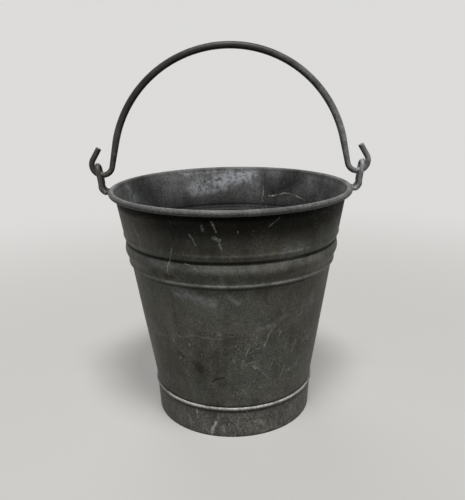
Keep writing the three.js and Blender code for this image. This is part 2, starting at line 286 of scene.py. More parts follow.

# Dark zones of painted shade to both sides, pale bluish zones and a broken white line on the inside
INSIDE_SHADE = (
    ((149, 286), (140, 250), 62, 0.62),
    ((63, 262), (50, 284), 56, 0.78),
    ((66, 240), (48, 250), 40, 0.5),
)
INSIDE_BLOOM = (
    ((113, 265), (98, 271), 34, 0.7),
    ((98, 272), (78, 282), 36, 0.95),
    ((165, 283), (156, 264), 24, 0.5),
    ((28, 262), (38, 280), 26, 0.14),
    ((122, 286), (88, 288), 10, 0.5),
)
INSIDE_MARKS = (
    ((66.3, 253.1), (60.9, 257.4), 2.6, 0.9),
    ((60.9, 257.4), (49.4, 259.4), 2, 0.7),
    ((49.4, 259.4), (40.7, 253.5), 2, 0.6),
    ((70, 266), (69.7, 246), 1.6, 0.4),
)

# White runs and spots on the foot ring
FOOT_MARKS = (
    ((-100.3, 32), (-101.4, 25), 2.6, 0.5),
    ((-102.6, 21), (-104.4, 11), 6.5, 1.0),
    ((-104.8, 12), (-106.4, 3), 8, 1.0),
    ((-111, 14), (-110, 8), 9, 0.22),
    ((-98, 15), (-97, 9), 9, 0.35),
    ((-116.9, 33), (-116.6, 29.5), 4, 0.95),
    ((-116.4, 25), (-116, 22), 3, 0.5),
    ((-124, 22), (-122, 14), 8, 0.3),
    ((-72, 20), (-69, 14), 9, 0.3),
)

def beside(height, *offsets):
    """Heights that lie at the offsets, in millimetres, from one height in metres."""
    return tuple(height + offset * MM for offset in offsets)


# Settings of the finishes. A noise is its scale, detail, roughness and distortion. A window is the span of
# values over which a pattern comes in, and a reach is what it gives below and above that span. A pattern is
# a noise with its window and reach. A zone is four heights: start, full, waning and end. A bend is the scale
# and distance by which painted strokes waver. Relief is the shares of the mottling and the grain in it
WHOLE = (0, 1)
FADE = (1, 0)
EVEN = (0.5, 0.5)
TONE_WINDOW = (0.38, 0.62)
NOISE_WINDOW = (0.3, 0.7)
NOISE_MIDDLE = 0.5
FINE_GRAIN = (430, 4, 0.75, 0)
FLECKS = (190, 6, 0.8, 0)
BEND_DETAIL = 3
SHEET_METALLIC = 0.1
SHEET_SPECULAR = 0.2

OUTSIDE = SimpleNamespace(
    cloud=(11, 6, 0.66, 0.5), mottle=(70, 6, 0.7, 0), run=(1, 5, 0.65, 0.4), run_stretch=(46, 46, 7),
    tone_shares=(0.4, 0.34, 0.26), grain_reach=(0.58, 1.5),
    hue=((9, 4, 0.6, 0.8), (0.42, 0.6)), hue_strength=0.5, green_reach=(0.6, 1.4),
    # Painted shadow of the rim with some dirt: the wall darkened below the rim, with a wavy lower edge and
    # less of it to the left
    under_rim_wave=30 * MM, under_rim=beside(RIM_HEIGHT, -58, -14), under_rim_shade_and_dirt=0.74,
    under_rim_azimuths=(-148, -112), under_rim_side_reach=(0.62, 1),
    # Painted shadow close under the roll
    crevice=beside(RIM_HEIGHT, -26, -6), crevice_shadow=0.96,
    # Painted shade in the groove
    groove=beside(GROOVE[0], -3.5, -1.5, 0.5, 4), groove_shade=0.7,
    # Painted shadow under the small bead, at the step
    step=beside(STEP_TOP, -6.7, -2.7, -1.7, -0.1), step_shadow=0.6,
    # Painted shade in the crease just above the foot ring
    seat=beside(FOOT_TOP, 0, 4.5), seat_shade=0.65,
    gloss_window=(0.2, 0.8), gloss_reach=(0.22, 0.02),
    # Painted highlights on the band's upper shoulder and on the small bead, with some rubbing on the bead
    shoulder=beside(BAND[0], 0.5, 7.5, 8.5, 11), shoulder_highlight=0.3,
    bead=beside(BEAD[0], -1.9, -0.1, 1, 2.7), bead_highlight_and_wear=0.55,
    highlight_window=(0.36, 0.6), highlight_reach=(0.35, 1),
    stain_bend=(55, 12 * MM), stain_edge=(0, 0.8), stain_window=(0.36, 0.54), stain_reach=(0.35, 1),
    warm=(22, 5, 0.65, 0), warm_stretch=(1, 1, 0.6), warm_shift=(0.31, 0.12, 0.05),
    warm_window=(0.52, 0.7), warm_reach=(0, 0.38),
    bloom_bend=(40, 20 * MM), bloom_flecks=(FLECKS, (0.42, 0.58), (0.2, 1.25)),
    scratch_bend=(90, 6 * MM), fine_break=((640, 3, 0.7, 0), (0.4, 0.56), (0.12, 1)),
    coarse_break=((150, 2, 0.5, 0), (0.36, 0.54), (0.3, 1)),
    low_wall=(45 * MM, 60 * MM, 120 * MM, 165 * MM), low_reach=(0.28, 1),
    patch=((26, 4, 0.65, 0.6), (0.46, 0.66)), patch_reach=(0.12, 1),
    speck=((560, 2, 0.5, 0), (0.6, 0.7)), speck_strength=0.85,
    scuff=(1, 2, 0.5, 0.4), scuff_stretch=(420, 42, 1), scuff_window=(0.62, 0.72), scuff_strength=0.7,
    # The rolled rim, lightened as painted highlight over its rubbed zinc
    roll=beside(RIM_HEIGHT, -4.6, -3.8), bright_grain_window=(0.4, 0.62), rim_bend=(60, 20 * MM), rim_strength=0.6,
    roughness=(0.46, 0.66), relief=(0.65, 0.35), depth=0.9 * MM,
)

INSIDE = SimpleNamespace(
    cloud=(16, 6, 0.66, 0.6), mottle=(85, 6, 0.72, 0), run=(1, 5, 0.65, 0.4), run_stretch=(50, 50, 9),
    tone_shares=(0.4, 0.32, 0.28), grain_reach=(0.58, 1.44),
    # Painted shade: dark zones to both sides, and the inside darker further down
    shade_bend=(25, 30 * MM), low=beside(RIM_HEIGHT, -54, -20), low_reach=(0.75, 0),
    deep=(60 * MM, 220 * MM), deep_reach=(0.55, 1),
    bloom_bend=(30, 26 * MM), bloom_shares=(0.4, 0.6), bloom_window=(0.42, 0.56), bloom_reach=(0.05, 1.15),
    line_bend=(60, 10 * MM), line_break=((240, 3, 0.65, 0), (0.42, 0.6), (0.1, 1)),
    speck=((700, 3, 0.6, 0), (0.6, 0.72)), speck_window=(0.42, 0.6), speck_reach=(0.2, 1), speck_strength=0.4,
    roughness=(0.5, 0.7), relief=(0.65, 0.35), depth=0.4 * MM,
)

FOOT = SimpleNamespace(
    mottle=(60, 6, 0.7, 0), run=(1, 5, 0.65, 0.5), run_stretch=(90, 90, 16),
    tone_shares=(0.75, 0.25), grain_reach=(0.5, 1.65),
    # Painted shadow under the bead and painted shade along the lower edge
    below_bead=beside(FOOT_TOP, -9, -5.5, -4.3, -3.1), below_bead_shadow=0.6,
    edge=(0.4 * MM, 3.5 * MM), edge_shade=0.65,
    # The foot's bead, lightened as painted highlight with some rubbed zinc
    bead=beside(FOOT_TOP, -3.5, -1.9), bright_grain_window=(0.4, 0.6), brightening_reach=(0.2, 0.62),
    mark_bend=(110, 6 * MM), mark_break=((300, 4, 0.7, 0), (0.38, 0.56), (0.15, 1)),
    speck=((540, 2, 0.5, 0), (0.6, 0.7)), speck_strength=0.75,
    patch=((34, 3, 0.6, 0), (0.42, 0.6), (0.15, 1)),
    roughness=(0.46, 0.64), relief=(0.6, 0.4), depth=0.7 * MM,
)

BOTTOM = SimpleNamespace(
    cloud=(22, 6, 0.68, 0), mottle=(90, 6, 0.72, 0), tone_shares=(0.6, 0.4), tone_window=(0.38, 0.64),
    grain_reach=(0.28, 0.66), edge_span=(70 * MM, 100 * MM), edge_reach=(1, 0.45),
    stain=(35, 4, 0.6, 0), stain_shift=(0.2, 0.4, 0), stain_window=(0.55, 0.75), stain_reach=(0, 0.55),
    roughness=(0.5, 0.7), relief=(0.6, 0.4), depth=0.3 * MM,
)

WIRE = SimpleNamespace(
    metallic=0.15, specular=0.35, mottle=(95, 6, 0.72, 0), grain=(520, 4, 0.75, 0), tone_window=(0.34, 0.66),
    right=(25 * MM, 165 * MM), ends=(330 * MM, 400 * MM), bright_grain_window=(0.5, 0.68),
    rub_patch=((40, 4, 0.6, 0), (0.42, 0.66), (0.05, 0.5)), brightening_reach=(0.15, 1),
    roughness=(0.4, 0.58), relief=(0.6, 0.4), depth=0.3 * MM,
)
EAR_TONES = (0.6, 1.9)
BAIL_TONES = (0.5, 1.5)


def length_setting(name, description, millimetres):
    """A size in metres that shows in the scene's unit of length."""
    return FloatProperty(
        name=name, description=description, default=millimetres * MM, unit="LENGTH", subtype="DISTANCE")


def colour_setting(name, description, colour):
    """A colour with a picker."""
    return FloatVectorProperty(
        name=name, description=description, default=colour, size=3, subtype="COLOR", min=0, max=1)


class BucketSizes(bpy.types.PropertyGroup):
    """Sizes of the bucket that can be changed by themselves."""

    rim_radius: length_setting("Rim radius", "Radius of the rolled rim's centreline", 146)
    rim_height: length_setting("Rim height", "Height of the rolled rim's centreline", RIM_HEIGHT / MM)
    foot_radius: length_setting("Foot radius", "Outer radius of the foot ring where it stands", 100)
    sheet: length_setting("Sheet", "Thickness of the sheet metal", 0.8)
    wire: length_setting("Rim wire", "Diameter of the rim wire and its ears", 5.4)
    bail: length_setting("Bail", "Diameter of the bail's arch", 8.6)
    hook: length_setting("Hook", "Diameter of the bail's hooks", 7)
    hook_radius: length_setting("Hook bend", "Radius of the hooks' centreline", 12.6)
    dents: length_setting("Dents", "Depth of the soft unevenness of the sheet", 0.35)


class BucketColours(bpy.types.PropertyGroup):
    """Colours of the finishes."""

    zinc: colour_setting("Zinc", "Weathered zinc on the outside", (0.225, 0.215, 0.18))
    green_zinc: colour_setting("Green zinc", "Cool greenish cast of the outside", (0.125, 0.142, 0.13))
    dark_zinc: colour_setting("Dark zinc", "Darkest tarnish on the outside", (0.08, 0.077, 0.062))
    bloom: colour_setting("Bloom", "Pale bluish oxide on the outside", (0.46, 0.475, 0.48))
    # Rubbed zinc and the dull rim colour also make the painted highlight on the rim, and rubbed zinc the one
    # on the foot's bead
    rim: colour_setting("Rubbed zinc", "Rubbed zinc on the rim and the foot's bead", (0.84, 0.835, 0.83))
    rim_dark: colour_setting("Dull rim", "Dull zinc on the rim", (0.33, 0.327, 0.32))
    inside_zinc: colour_setting("Inside", "Weathered zinc on the inside", (0.17, 0.175, 0.175))
    dark_inside: colour_setting("Dark inside", "Darkest tarnish on the inside", (0.075, 0.075, 0.075))
    inside_bloom: colour_setting("Inside bloom", "Bluish oxide on the inside", (0.42, 0.435, 0.47))
    foot: colour_setting("Foot", "Weathered zinc of the foot ring", (0.22, 0.214, 0.193))
    dark_foot: colour_setting("Dark foot", "Darkest tarnish of the foot ring", (0.11, 0.107, 0.096))
    chalk: colour_setting("Chalk", "White oxide and dried water marks", (0.8, 0.79, 0.76))
    rust: colour_setting("Rust", "Brown stains", (0.04, 0.03, 0.012))
    wire: colour_setting("Wire", "Dark top of the bail", (0.022, 0.02, 0.017))
    low_wire: colour_setting("Low wire", "Wire of the ears and the bail's ends", (0.062, 0.059, 0.052))
    # The pale wire colour is painted light on the right side of the wires, where the light falls
    pale_wire: colour_setting("Pale wire", "Wire where the zinc still shows", (0.21, 0.212, 0.22))
    floor: colour_setting("Floor", "Floor under the bucket", (0.58, 0.57, 0.55))


def smoothstep(values, low, high):
    """0 below low, 1 above high, and the cubic 3t^2 - 2t^3 between them."""
    share = np.clip((values - low) / (high - low), 0, 1)
    return share * share * (3 - 2 * share)


def rib_rise(z):
    """Sum over the ribs of rise times half of one plus the cosine of the distance from the rib's centre."""
    total = np.zeros_like(z)
    for centre, half_height, rise in (BAND, GROOVE, RIDGE, BEAD):
        offset = np.clip((z - centre) / half_height, -1, 1)
        total += rise * (1 + np.cos(np.pi * offset)) / 2
    return total


def wall_radius(z, sizes):
    """Outer radius of the wall: a straight taper, drawn in below the step, flared under the rim, and ribs."""
    top = sizes.rim_radius - ROLL_RADIUS + sizes.sheet / 2 - FLARE
    share = (z - FOOT_TOP) / (sizes.rim_height - FOOT_TOP)
    taper = WALL_AT_FOOT + share * (top - WALL_AT_FOOT)
    flare = FLARE * smoothstep(z, sizes.rim_height - FLARE_HEIGHT, sizes.rim_height)
    drawn_in = STEP_DEPTH * np.minimum(1, (z - FOOT_TOP) / (STEP_BOTTOM - FOOT_TOP))
    return taper + flare - (1 - smoothstep(z, STEP_BOTTOM, STEP_TOP)) * drawn_in + rib_rise(z)


def wall_radius_at(height, sizes):
    """The wall's outer radius at a single height."""
    return wall_radius(np.array([height]), sizes)[0]


def arc(centre, radius, start, end, count):
    """Points centre + radius (cos a, sin a) with the angle a going evenly from start to end, in degrees."""
    angle = np.radians(np.linspace(start, end, count))
    return np.stack([centre[0] + radius * np.cos(angle), centre[1] + radius * np.sin(angle)], axis=1)


def full_turn(columns):
    """Azimuths in degrees, evenly once round from -180."""
    return np.linspace(-180, 180, columns + 1)[:-1]


def revolve(profile, azimuths):
    """Turns (radius, height) rows about the Z axis: x = r cos a, y = r sin a, z = h."""
    angle = np.radians(azimuths)[None, :]
    radius = profile[:, 0:1]
    height = np.broadcast_to(profile[:, 1:2], (len(profile), len(azimuths)))
    return np.stack([radius * np.cos(angle), radius * np.sin(angle), height], axis=2)


def unroll(azimuths, heights):
    """The wall rolled out flat: the azimuth times PATTERN_RADIUS across, up to a last column at 180 degrees
    where the wall closes, and the height upward."""
    around, up = np.meshgrid(np.radians(np.append(azimuths, 180)), heights)
    return np.stack([around * PATTERN_RADIUS, up], axis=2)


def corners(values):
    """The values at the four corners of each cell of a grid, counter-clockwise."""
    return np.stack([values[:-1, :-1], values[:-1, 1:], values[1:, 1:], values[1:, :-1]], axis=2)


def add_surface(name, points, closed, unrolled=None):
    """Makes an object of a grid of points: one quad to a cell, joined to the first row or column where it is
    closed, with an unrolled UV map where one is given."""
    index = np.arange(points.shape[0] * points.shape[1]).reshape(points.shape[:2])
    index = np.pad(index, ((0, int(closed[0])), (0, int(closed[1]))), mode="wrap")
    mesh = bpy.data.meshes.new(name)
    mesh.from_pydata(points.reshape(-1, 3), [], corners(index).reshape(-1, 4))
    if unrolled is not None:
        layer = mesh.uv_layers.new(name="unrolled")
        layer.data.foreach_set("uv", corners(unrolled).astype(np.float32).ravel())
    mesh.polygons.foreach_set("use_smooth", np.ones(len(mesh.polygons), bool))
    mesh.update()
    piece = bpy.data.objects.new(name, mesh)
    bpy.context.scene.collection.objects.link(piece)
    return piece


def set_mesh(piece, mesh):
    """Gives the object a finished mesh, with hard edges where faces meet at more than SHARP_ANGLE."""
    piece.modifiers.clear()
    piece.data = mesh
    mesh.name = piece.name
    mesh.set_sharp_from_angle(angle=np.radians(SHARP_ANGLE))


def bake_modifiers(piece):
    """Puts the result of the object's modifiers into its mesh."""
    depsgraph = bpy.context.evaluated_depsgraph_get()
    set_mesh(piece, bpy.data.meshes.new_from_object(piece.evaluated_get(depsgraph)))


def merge_poles(piece):
    """Merges points that fall together, such as a pole's, so that the skin is closed."""
    work = bmesh.new()
    work.from_mesh(piece.data)
    bmesh.ops.remove_doubles(work, verts=work.verts, dist=MERGE_DISTANCE)
    work.to_mesh(piece.data)
    work.free()
    set_mesh(piece, piece.data)


def thicken(piece, thickness):
    """Gives a middle surface its wall to both sides. The inner side takes the next material slot."""
    solidify = piece.modifiers.new("wall", "SOLIDIFY")
    solidify.thickness = thickness
    solidify.offset = 0
    solidify.use_even_offset = True
    solidify.material_offset = 1
    solidify.material_offset_rim = 0
    bake_modifiers(piece)


def install(piece, node, body, slot, *materials):
    """Lets a finished piece stand for a CAD node."""
    for material in materials:
        piece.data.materials.append(material)
    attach(piece, body)
    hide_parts(node)


def body_profile(sizes):
    """Middle of the body's sheet, from the fold inside the bottom, round under it, up the wall and round the
    rim, and how many of its rows lie past the roll's lip."""
    half = sizes.sheet / 2
    turn_height = BODY_LOWEST + half + FOLD_RADIUS
    wall_foot = wall_radius_at(turn_height, sizes) - half
    centre = (wall_foot - FOLD_RADIUS, turn_height)
    fold = arc(centre, FOLD_RADIUS, 180, 360, FOLD_ROWS)
    top = np.array([[fold[0, 0] + wall_radius_at(FOLD_TOP, sizes) - half - wall_foot, FOLD_TOP]])
    heights = np.concatenate([
        np.linspace(turn_height, RIBS_FROM, WALL_ROWS)[1:],
        np.linspace(RIBS_FROM, RIBS_TO, RIB_ROWS)[1:],
        np.linspace(RIBS_TO, sizes.rim_height, NECK_ROWS)[1:-1],
    ])
    wall = np.stack([wall_radius(heights, sizes) - half, heights], axis=1)
    rim = (sizes.rim_radius, sizes.rim_height)
    to_lip = arc(rim, ROLL_RADIUS, 180, ROLL_LIP, LIP_ROWS)
    past_lip = arc(rim, ROLL_RADIUS, ROLL_LIP, ROLL_END, ROLL_ROWS)[1:]
    return np.concatenate([top, fold, wall, to_lip, past_lip]), len(past_lip)


def soft_dents(azimuths, heights):
    """Mean of long sine waves round and up the wall, which die out at the rim and the foot."""
    around = np.radians(azimuths)[None, :]
    up = heights[:, None] / DENT_RISE
    waves = sum(np.sin(turns * around + climb * up + phase) for turns, climb, phase in DENT_WAVES)
    calm = smoothstep(heights, *DENTS_FROM) * (1 - smoothstep(heights, *DENTS_TO))
    return waves / len(DENT_WAVES) * calm[:, None]


def seam_raise(azimuths, heights, radius):
    """A flat-topped strip down the back, as high as SEAM_RISE, with soft edges and ends."""
    across = np.abs(np.radians(azimuths - SEAM_AZIMUTH))[None, :] * radius
    strip = 1 - smoothstep(across, SEAM_HALF_WIDTH - SEAM_EDGE, SEAM_HALF_WIDTH)
    ends = smoothstep(heights, SEAM_LOWEST, SEAM_LOWEST + SEAM_EDGE)
    ends = ends * (1 - smoothstep(heights, SEAM_HIGHEST - SEAM_RUNOUT, SEAM_HIGHEST))
    return SEAM_RISE * strip * ends[:, None]


def body_surface(sizes, materials):
    """The body's sheet: its profile turned round the axis, with the seam and soft dents added to the radius,
    and the rolled rim cut through where the ears come out."""
    profile, past_lip = body_profile(sizes)
    seam = np.linspace(SEAM_AZIMUTH - SEAM_SPAN, SEAM_AZIMUTH + SEAM_SPAN, SEAM_COLUMNS)
    azimuths = np.unique(np.concatenate([full_turn(BODY_COLUMNS), seam]))
    points = revolve(profile, azimuths)
    radius, heights = profile[:, 0:1], profile[:, 1]
    on_wall = np.ones(len(profile))
    on_wall[-past_lip:] = 0
    push = sizes.dents * soft_dents(azimuths, heights) + seam_raise(azimuths, heights, radius)
    scale = 1 + push * on_wall[:, None] / radius
    points[:, :, :2] *= scale[:, :, None]
    piece = add_surface("body_sheet", points, (False, True), unroll(azimuths, heights))
    for material in materials:
        piece.data.materials.append(material)
    thicken(piece, sizes.sheet)
    for azimuth in EAR_AZIMUTHS:
        cut_slot(piece, sizes, azimuth)
    return piece


def cut_slot(piece, sizes, azimuth):
    """Takes out of the sheet the space round one ear's wire, a tube wider than the wire by the clearance."""
    path = ear_path(sizes, azimuth)
    reach = np.full(len(path), sizes.wire / 2 + SLOT_CLEARANCE)
    cutter = tube("slot_cutter", path, reach, ear_hint(path), SLOT_SIDES)
    cut = piece.modifiers.new("slot", "BOOLEAN")
    cut.operation = "DIFFERENCE"
    cut.solver = "MANIFOLD"
    cut.object = cutter
    bake_modifiers(piece)
    bpy.data.objects.remove(cutter)


def foot_surface(sizes):
    """The foot ring's closed section turned round the axis: turned-in edge, leaning wall, bead and seat."""
    outer = sizes.foot_radius
    bead_height = FOOT_TOP - FOOT_BEAD_RADIUS
    bead_radius = wall_radius_at(FOOT_TOP, sizes) + FOOT_SEAT
    lean = np.linspace(*FOOT_WALL_SPAN, FOOT_WALL_ROWS)[:, None]
    wall_bottom = np.array([[outer, FOOT_EDGE_RADIUS]])
    wall_top = np.array([[bead_radius + FOOT_NECK_OUT, bead_height - FOOT_BEAD_RADIUS - FOOT_NECK_DROP]])
    seat_heights = np.linspace(
        FOOT_TOP - FOOT_SEAT_BELOW_TOP, BODY_LOWEST + FOOT_SEAT_ABOVE_BODY, FOOT_SEAT_ROWS)
    seat = np.stack([wall_radius(seat_heights, sizes) + FOOT_SEAT, seat_heights], axis=1)
    section = np.concatenate([
        [[FOOT_EDGE_INNER, 0]],
        arc((outer - FOOT_EDGE_RADIUS, FOOT_EDGE_RADIUS), FOOT_EDGE_RADIUS, -90, 0, FOOT_EDGE_ROWS),
        wall_bottom + lean * (wall_top - wall_bottom),
        arc((bead_radius, bead_height), FOOT_BEAD_RADIUS, *FOOT_BEAD_TURN, FOOT_BEAD_ROWS),
        seat,
        [[FOOT_KNEE, BODY_LOWEST], [outer - sizes.sheet, FOOT_EDGE_RADIUS], [FOOT_EDGE_INNER, sizes.sheet]],
    ])
    azimuths = full_turn(FOOT_COLUMNS)
    unrolled = unroll(azimuths, np.append(section[:, 1], 0))
    piece = add_surface("foot_band", revolve(section, azimuths), (True, True), unrolled)
    set_mesh(piece, piece.data)
    return piece


def bottom_surface(sizes):
    """The bottom's section turned round the axis: a slightly sagging disc, a round corner and a flange."""
    corner_height = BOTTOM_TOP - BOTTOM_CORNER
    corner_radius = wall_radius_at(corner_height, sizes) - FLANGE_INSET - BOTTOM_CORNER
    end_radius = wall_radius_at(FLANGE_END, sizes) - FLANGE_INSET
    corner = (corner_radius, corner_height)
    reach = np.linspace(0, corner_radius, BOTTOM_ROWS)[:-1]
    sag_from, sag_to = (share * corner_radius for share in BOTTOM_SAG_SPAN)
    sag = BOTTOM_SAG * (1 - smoothstep(reach, sag_from, sag_to))
    disc = np.stack([reach, BOTTOM_TOP - sag], axis=1)
    section = np.concatenate([
        disc - [0, sizes.sheet],
        arc(corner, BOTTOM_CORNER - sizes.sheet, 90, 0, UNDER_CORNER_ROWS),
        [[end_radius - sizes.sheet, FLANGE_END], [end_radius, FLANGE_END]],
        arc(corner, BOTTOM_CORNER, 0, 90, OVER_CORNER_ROWS),
        disc[::-1],
    ])
    piece = add_surface("floor_disc", revolve(section, full_turn(BOTTOM_COLUMNS)), (False, True))
    merge_poles(piece)
    return piece


def normalise(vectors):
    """Each vector divided by its own length."""
    return vectors / np.linalg.norm(vectors, axis=-1, keepdims=True)


def tube(name, path, radii, hint, sides):
    """A round wire along a path: each station's circle is centre + r (cos a side + sin a up), where side is
    across the path's direction and the hint, and up is across the direction and side. Both ends are flat,
    with a small bevel."""
    ahead = normalise(np.gradient(path, axis=0))
    side = normalise(np.cross(ahead, hint))
    up = np.cross(ahead, side)
    start, end = path[0], path[-1]
    stations = np.concatenate([[start, start], [start + CUT_BEVEL * ahead[0]], path[1:-1],
                               [end - CUT_BEVEL * ahead[-1]], [end, end]])
    pick = np.concatenate([[0, 0], np.arange(len(path)), [-1, -1]])
    spread = np.concatenate([[0, radii[0] - CUT_BEVEL], radii, [radii[-1] - CUT_BEVEL, 0]])
    angle = np.linspace(0, 2 * np.pi, sides + 1)[:-1]
    ring = (np.cos(angle)[None, :, None] * side[pick][:, None]
            + np.sin(angle)[None, :, None] * up[pick][:, None])
    points = stations[:, None] + spread[:, None, None] * ring
    piece = add_surface(name, points, (False, True))
    merge_poles(piece)
    return piece


def through(points, steps):
    """A smooth curve through the points: between two of them it is the centripetal Catmull-Rom blend of the
    four nearest, drawn with even steps along each span."""
    points = np.concatenate([[2 * points[0] - points[1]], points, [2 * points[-1] - points[-2]]])
    knots = np.concatenate([[0], np.cumsum(np.linalg.norm(np.diff(points, axis=0), axis=1) ** 0.5)])
    last_span = len(points) - 3
    span = np.append(np.repeat(np.arange(1, last_span + 1), steps), last_span)
    share = np.append(np.tile(np.arange(steps) / steps, last_span), 1.0)
    t0, t1, t2, t3 = (knots[span + k] for k in (-1, 0, 1, 2))
    p0, p1, p2, p3 = (points[span + k] for k in (-1, 0, 1, 2))
    t = t1 + share * (t2 - t1)

    def between(a, b, ta, tb):
        weight = ((t - ta) / (tb - ta))[:, None]
        return a + weight * (b - a)

    a1, a2, a3 = between(p0, p1, t0, t1), between(p1, p2, t1, t2), between(p2, p3, t2, t3)
    b1, b2 = between(a1, a2, t0, t2), between(a2, a3, t1, t3)
    return between(b1, b2, t1, t2)


def ear_path(sizes, azimuth):
    """One ear: its half outline mirrored about its middle, laid out from the rim at an azimuth, and smoothed
    into a curve."""
    half = np.array(EAR_HALF)
    outline = np.concatenate([half * [1, -1, 1], [EAR_TOP], half[::-1]])
    local = outline + [sizes.rim_radius, 0, sizes.rim_height]
    cosine, sine = np.cos(np.radians(azimuth)), np.sin(np.radians(azimuth))
    turn = np.array([[cosine, -sine, 0], [sine, cosine, 0], [0, 0, 1]])
    return through(local @ turn.T, EAR_STEPS)


def ear_hint(path):
    """A direction that no part of the wire runs along: outward, and down, and a little back along the rim."""
    outward = normalise(path * [1, 1, 0])
    along = np.cross([0, 0, 1], outward)
    return normalise(outward - EAR_HINT_SHARE * along - [0, 0, 1])


def ring_path(sizes, start, end):
    """Part of the rim's circle between two azimuths, in steps of about 4 mm."""
    count = int(abs(end - start) * RING_STEPS_PER_DEGREE)
    angle = np.radians(np.linspace(start, end, count))
    flat = sizes.rim_radius * np.stack([np.cos(angle), np.sin(angle)], axis=1)
    return np.column_stack([flat, np.full(count, sizes.rim_height)])


def rim_wire_surface(sizes):
    """One wire: round the rim from behind the seam, standing up as an ear at the left and at the right."""
    right, left = EAR_AZIMUTHS
    leave = EAR_EXIT_ANGLE
    path = np.concatenate([
        ring_path(sizes, SEAM_AZIMUTH + BUTT_ANGLE, left - leave)[:-1],
        ear_path(sizes, left),
        ring_path(sizes, left + leave, right + 360 - leave)[1:-1],
        ear_path(sizes, right),
        ring_path(sizes, right + leave, SEAM_AZIMUTH - BUTT_ANGLE)[1:],
    ])
    return tube("rim_and_ear_wire", path, np.full(len(path), sizes.wire / 2), ear_hint(path), WIRE_SIDES)


def bail_path(sizes):
    """Centreline of the bail in the upright plane: tip, hook, leg, arch, and the same mirrored. Each leg is
    the straight line that touches both the arch and the hook."""
    hook_x = sizes.rim_radius + HOOK_REACH
    pivot = sizes.rim_height + PIVOT_RISE
    hook_z = pivot + sizes.hook_radius
    arch_z = pivot + ARCH_RISE
    arch_radius = hook_x - sizes.hook_radius - LEG_SPREAD
    gap = np.hypot(hook_x, hook_z - arch_z)
    lean = np.arctan2(hook_z - arch_z, hook_x) + np.arccos((arch_radius + sizes.hook_radius) / gap)
    lean = np.degrees(lean)
    hook = arc((hook_x, hook_z), sizes.hook_radius, HOOK_TURN, -180 + lean, HOOK_STEPS)
    turn = np.radians(HOOK_TURN)
    tip_end = hook[0] + HOOK_TIP * np.array([-np.sin(turn), np.cos(turn)])
    tip = np.linspace(tip_end, hook[0], TIP_STEPS)[:-1]
    arch = arc((0, arch_z), arch_radius, lean, 90, ARCH_STEPS)
    leg = np.linspace(hook[-1], arch[0], LEG_STEPS)[1:-1]
    right = np.concatenate([tip, hook, leg, arch])
    left = right[::-1][1:] * [-1, 1]
    flat = np.concatenate([right, left])
    return np.column_stack([flat[:, 0], np.zeros(len(flat)), flat[:, 1]])


def bail_surface(sizes):
    """A round rod along the bail's centreline, drawn thinner towards both hooks."""
    path = bail_path(sizes)
    run = np.concatenate([[0], np.cumsum(np.linalg.norm(np.diff(path, axis=0), axis=1))])
    from_end = np.minimum(run, run[-1] - run)
    hook_length = HOOK_TIP + np.pi * sizes.hook_radius
    share = smoothstep(from_end, hook_length, hook_length + TAPER_LENGTH)
    radii = (sizes.hook + share * (sizes.bail - sizes.hook)) / 2
    return tube("bail_rod", path, radii, np.tile([0.0, 1.0, 0.0], (len(path), 1)), BAIL_SIDES)



